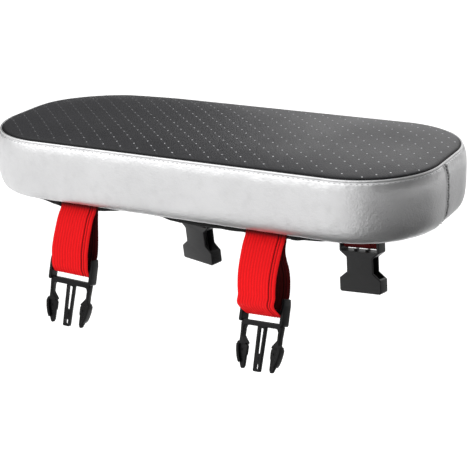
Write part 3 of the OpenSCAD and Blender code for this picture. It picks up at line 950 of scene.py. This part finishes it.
def rod(p0, p1, r, sides=40):
    bm = bmesh.new()
    v = Vector(p1) - Vector(p0)
    bmesh.ops.create_cone(bm, cap_ends=True, segments=sides, radius1=r, radius2=r, depth=v.length)
    q = Vector((0, 0, 1)).rotation_difference(v.normalized()).to_matrix().to_4x4()
    bmesh.ops.transform(bm, matrix=Matrix.Translation((Vector(p0) + Vector(p1)) / 2) @ q, verts=bm.verts)
    me = bpy.data.meshes.new("rod")
    bm.to_mesh(me)
    bm.free()
    ob = bpy.data.objects.new("rod", me)
    scene.collection.objects.link(ob)
    return ob


def combine(first, others, op):
    """Boolean of a list of closed meshes; the first keeps the result."""
    for o in others:
        m = first.modifiers.new("b", "BOOLEAN")
        m.operation = op
        m.object = o
        m.solver = "MANIFOLD"
    bpy.context.view_layer.update()
    dg = bpy.context.evaluated_depsgraph_get()
    me = bpy.data.meshes.new_from_object(first.evaluated_get(dg))
    first.modifiers.clear()
    first.data = me
    for o in others:
        bpy.data.objects.remove(o)
    return first


def mirrored(points):
    return [(-p[0], p[1]) for p in points][::-1]


def both(points, *a, **k):
    return [slab(points, *a, **k), slab(mirrored(points), *a, **k)]


def plug_mesh():
    cheek = fillet([(15.4, -7.6), (15.7, -9.6), (16.9, -9.6), (17.6, -5), (17.7, 8), (17.1, 9.1), (15.4, 9.1)],
                   [0.3, 0.7, 0.7, 2, 0.8, 0.8, 0.2])
    arm = fillet([(12.0, 9.4), (16.4, 9.4), (15.9, 17), (15.9, 22.3), (17.4, 23.1), (17.75, 24.6), (10.9, 24.6), (10.3, 23.6),
                  (14.2, 18.8), (14.2, 13.6), (13.6, 11.8), (12, 11)],
                 [0.2, 0.5, 3, 0.8, 0.8, 0.2, 0.4, 0.5, 1.2, 1.6, 1, 0.2])
    wall = fillet([(15.7, 24.2), (17.7, 24.2), (17.7, 26.5), (17.2, 29.8), (16.4, 33), (15.4, 35.6), (14.2, 37.5),
                   (12.9, 36.3), (13.6, 34.8), (14.5, 32.4), (15.2, 29.5), (15.7, 26.5)],
                  [0.2, 0.8, 2, 4, 4, 4, 0.7, 0.7, 2, 4, 4, 2])
    plate = fillet([(10.4, 24.4), (16.6, 24.4), (16.6, 28), (16.2, 32), (15.2, 35.6), (13.9, 38.6), (13.1, 40.5), (12.2, 41.2),
                    (11.0, 40.7), (10.3, 38.8), (10.2, 32.4), (9.6, 31), (9.6, 26)],
                   [0.3, 0.2, 2, 4, 4, 2, 1.2, 0.9, 0.8, 1.5, 1.0, 1.0, 1.0])
    parts = []
    parts += both(cheek, 8.5, 0.45)
    parts += both(arm, 5.0, 0.45)
    parts += both(wall, 6.4, 0.5)
    parts += both(plate, 2.4, 0.4)
    parts.append(slab(fillet([(-15.8, 7.5), (15.8, 7.5), (15.8, 11.2), (-15.8, 11.2)], 0.3), 5.5, 0.5))
    prong = [(-3.3, 11), (3.3, 11), (2.7, 41), (2.2, 41.7), (-2.2, 41.7), (-2.7, 41)]
    parts.append(slab(fillet(prong, [0.1, 0.1, 0.6, 0.6, 0.6, 0.6]), 3.0, 0.4))
    parts.append(rod((0, -1.9, -32.6), (0, 1.9, -32.6), 1.3, 28))
    parts.append(rod((-16.0, 0, 0), (16.0, 0, 0), BAR_R))
    body = combine(parts[0], parts[1:], "UNION")
    cut = [slab(fillet([(-1.7, 12.2), (1.7, 12.2), (1.35, 29.5), (-1.35, 29.5)], 0.5), 12, 0),
           slab(fillet([(-1.2, 36.6), (1.2, 36.6), (1.2, 40), (-1.2, 40)], 0.5), 12, 0)]
    for s in (-1, 1):
        for sx in (-1, 1):
            cut.append(rod((sx * 12.9, s * 0.7, -28.2), (sx * 12.9, s * 2.5, -28.2), 1.1, 28))
            for gz in (31.6, 33.2, 34.8):
                w = 14.6 - (gz - 31) * 0.42
                cut.append(slab([(sx * 10.9, gz), (sx * w, gz), (sx * w, gz + 0.55), (sx * 10.9, gz + 0.55)], 0.7, 0,
                                y=s * 1.25))
    return combine(body, cut, "DIFFERENCE")


def socket_mesh():
    half = [(17.5, -3), (17.5, 5.8), (11.5, 10.4), (11.5, 22), (18.2, 27.1), (18.2, 36.8), (17, 38)]
    outl = fillet(half + mirrored(half), [1.2, 1.0, 0.9, 0.9, 1.0, 1.0, 1.0] + [1.0, 1.0, 1.0, 0.9, 0.9, 1.0, 1.2])
    body = slab(outl, 11.0, 0.9, seg=4)
    slot = slab([(-15.7, -9), (15.7, -9), (15.7, 5.6), (-15.7, 5.6)], 14, 0)
    body = combine(body, [slot], "DIFFERENCE")
    add = [rod((-16.2, 0, 0), (16.2, 0, 0), BAR_R)]
    for x in (-5, 5):
        add.append(slab(fillet([(x - 1.0, 4.15), (x + 1.0, 4.15), (x + 1.0, 6.6), (x - 1.0, 6.6)], 0.4), 5.0, 0.35))
    body = combine(body, add, "UNION")
    cav = slab(fillet([(-16.8, 9.4), (16.8, 9.4), (16.8, 40), (-16.8, 40)], [1.0, 1.0, 0, 0]), 8.2, 0)
    # side openings run right through the side walls between the two flanges
    body = combine(body, [cav], "DIFFERENCE")
    rails = []
    for x in (-5.2, 5.2):
        for s in (-1, 1):
            rails.append(slab([(x - 0.5, 12), (x + 0.5, 12), (x + 0.5, 34), (x - 0.5, 34)], 1.3, 0, y=s * 3.65))
    return combine(body, rails, "UNION")


def place(ob, lp, name):
    t, y, r = lp["tilt"], lp["yaw"], lp["roll"]
    m = Matrix.Rotation(math.radians(-y), 4, "Z") @ Matrix.Rotation(math.radians(-t), 4, "X") @ Matrix.Rotation(math.radians(r), 4, "Y")
    me = ob.data.copy()
    me.name = name
    me.transform(Matrix.Diagonal((0.001, 0.001, 0.001, 1)) @ Matrix.Translation(Vector(lp["bar"])) @ m)
    o = bpy.data.objects.new(name, me)
    scene.collection.objects.link(o)
    me.shade_smooth()
    me.set_sharp_from_angle(angle=math.radians(32))
    me.materials.clear()
    me.materials.append(M_PLUG if "plug" in name else M_PLASTIC)
    return o


plug_src, socket_src = plug_mesh(), socket_mesh()
plug_l = place(plug_src, LOOPS["fl"], "plug_left_moulding")
plug_r = place(plug_src, LOOPS["fr"], "plug_right_moulding")
sock_l = place(socket_src, LOOPS["rl"], "socket_left_moulding")
sock_r = place(socket_src, LOOPS["rr"], "socket_right_moulding")
bpy.data.objects.remove(plug_src)
bpy.data.objects.remove(socket_src)

# ---------------------------------------------------------------- bodies
for ob, nd, sl in ((top, "top_panel", "top_cover"), (band, "side_band", "band_cover"), (piping, "edge_piping", "piping"),
                   (base, "bottom_panel", "base_fabric"), (edge_st, "edge_stitching", "thread"),
                   (hem_st, "hem_stitching", "thread"), (seam_st, "closing_seam_stitching", "thread")):
    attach(ob, "cushion")
    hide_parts(nd)
for key, nd in (("fl", "strap_loop_front_left"), ("fr", "strap_loop_front_right"),
                ("rl", "strap_loop_rear_left"), ("rr", "strap_loop_rear_right")):
    ob, length = webbing("webbing_" + nd[11:], LOOPS[key])
    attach(ob, "cushion")
    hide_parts(nd)
for ob, nd, body in ((plug_l, "buckle_plug_left", "plug_left"), (plug_r, "buckle_plug_right", "plug_right"),
                     (sock_l, "buckle_socket_left", "socket_left"), (sock_r, "buckle_socket_right", "socket_right")):
    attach(ob, body)
    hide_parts(nd)
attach(foam, "cushion")
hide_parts("foam_core")

# ---------------------------------------------------------------- stage, light, camera
fm, fnt, fb = new_mat("pale_floor")
fco = obj_coord(fnt)
fnt.links.new(mix_col(fnt, noise_tex(fnt, fco, 1.5, 2.0), (0.93, 0.93, 0.93), (0.95, 0.95, 0.95)), fb.inputs["Base Color"])
fb.inputs["Roughness"].default_value = 1.0
fb.inputs["Specular IOR Level"].default_value = 0.0
fb.inputs["Emission Color"].default_value = (1, 1, 1, 1)
fb.inputs["Emission Strength"].default_value = 0.35
floor = add_mesh("floor", [(-12000, -12000, -450), (12000, -12000, -450), (12000, 12000, -450), (-12000, 12000, -450)],
                 [(0, 1, 2, 3)], smooth=False)
floor.data.materials.append(fm)


def sector(name, az0, az1, r0, r1, z0, z1, tone):
    """A card on the floor or standing on it, out of the camera's sight."""
    m, nt, b = new_mat(name)
    nt.links.new(mix_col(nt, noise_tex(nt, obj_coord(nt), 3.0, 2.0), (tone,) * 3, (tone * 1.1,) * 3), b.inputs["Base Color"])
    b.inputs["Roughness"].default_value = 1.0
    b.inputs["Specular IOR Level"].default_value = 0.0
    v, n = [], 24
    for i in range(n + 1):
        a = math.radians(az0 + (az1 - az0) * i / n)
        v.append((r0 * math.cos(a), r0 * math.sin(a), z0))
        v.append((r1 * math.cos(a), r1 * math.sin(a), z1))
    ob = add_mesh(name, v, [(2 * i, 2 * i + 1, 2 * i + 3, 2 * i + 2) for i in range(n)], smooth=False)
    ob.data.materials.append(m)
    ob.visible_camera = False
    ob.visible_shadow = False
    ob.visible_diffuse = False
    return ob


dark_card = sector("dark_card", -66, 33, 260, 2600, -446, -446, 0.0)
grey_card = sector("grey_card", 33, 78, 620, 2400, -447, -447, 0.50)
under_card = sector("under_card", 0, 360, 0.5, 420, -445, -445, 0.03)
under_card.location = (0.10, -0.20, 0)


def area(name, pos, target, size, radiance):
    d = bpy.data.lights.new(name, "AREA")
    d.shape = "RECTANGLE"
    d.size, d.size_y = size
    d.energy = radiance * math.pi * size[0] * size[1]
    o = bpy.data.objects.new(name, d)
    scene.collection.objects.link(o)
    o.location = pos
    o.rotation_euler = (Vector(target) - Vector(pos)).to_track_quat("-Z", "Y").to_euler()
    return o


area("softbox_back_right", (0.16, 0.75, 0.34), (0.10, 0, 0.05), (1.10, 0.4), 1.1)
area("softbox_front_left", (-0.55, -0.95, 0.60), (0, 0, 0.02), (0.9, 0.45), 1.1)

world = bpy.data.worlds.new("studio")
scene.world = world
world.use_nodes = True
wnt = world.node_tree
bg = wnt.nodes["Background"]
gen = wnt.nodes.new("ShaderNodeTexCoord").outputs["Generated"]


def toward(az, el, lo, hi):
    """0 to 1 as the direction comes near the one given."""
    a, e = math.radians(az), math.radians(el)
    d = wnt.nodes.new("ShaderNodeVectorMath")
    d.operation = "DOT_PRODUCT"
    wnt.links.new(gen, d.inputs[0])
    d.inputs[1].default_value = (math.cos(a) * math.cos(e), math.sin(a) * math.cos(e), math.sin(e))
    n = wnt.nodes.new("ShaderNodeMapRange")
    n.interpolation_type = "SMOOTHSTEP"
    wnt.links.new(d.outputs["Value"], n.inputs[0])
    n.inputs[1].default_value, n.inputs[2].default_value = lo, hi
    return n.outputs[0]


front = toward(-128, 8, 0.18, 0.88)
above = toward(-140, 66, 0.50, 0.92)
side_r = toward(72, 8, 0.45, 0.97)
low = math_node(wnt, "ADD", 0.05, math_node(wnt, "ADD", math_node(wnt, "MULTIPLY", front, 1.08),
                                           math_node(wnt, "MULTIPLY", side_r, 0.35)))
strength = math_node(wnt, "ADD", low, math_node(wnt, "MULTIPLY", above, 1.2))
wnt.links.new(strength, bg.inputs[1])
bg.inputs[0].default_value = (1, 1, 1, 1)

cam_data = bpy.data.cameras.new("photo_camera")
cam_data.sensor_width = 36.0
cam_data.lens = 36.0 * 1363.5 / 470.0
cam_data.clip_start, cam_data.clip_end = 0.05, 60
cam = bpy.data.objects.new("photo_camera", cam_data)
scene.collection.objects.link(cam)
yaw, pitch, roll = 0.494, 0.346, -0.030
fwd = Vector((-math.sin(yaw) * math.cos(pitch), math.cos(yaw) * math.cos(pitch), -math.sin(pitch)))
r0 = Vector((math.cos(yaw), math.sin(yaw), 0))
u0 = r0.cross(fwd)
rt = r0 * math.cos(roll) + u0 * math.sin(roll)
up = -r0 * math.sin(roll) + u0 * math.cos(roll)
m = Matrix((rt, up, -fwd)).transposed().to_4x4()
m.translation = Vector((0.45697, -0.83449, 0.31191))
cam.matrix_world = m
scene.camera = cam
scene.view_settings.view_transform = "Standard"
scene.view_settings.look = "None"
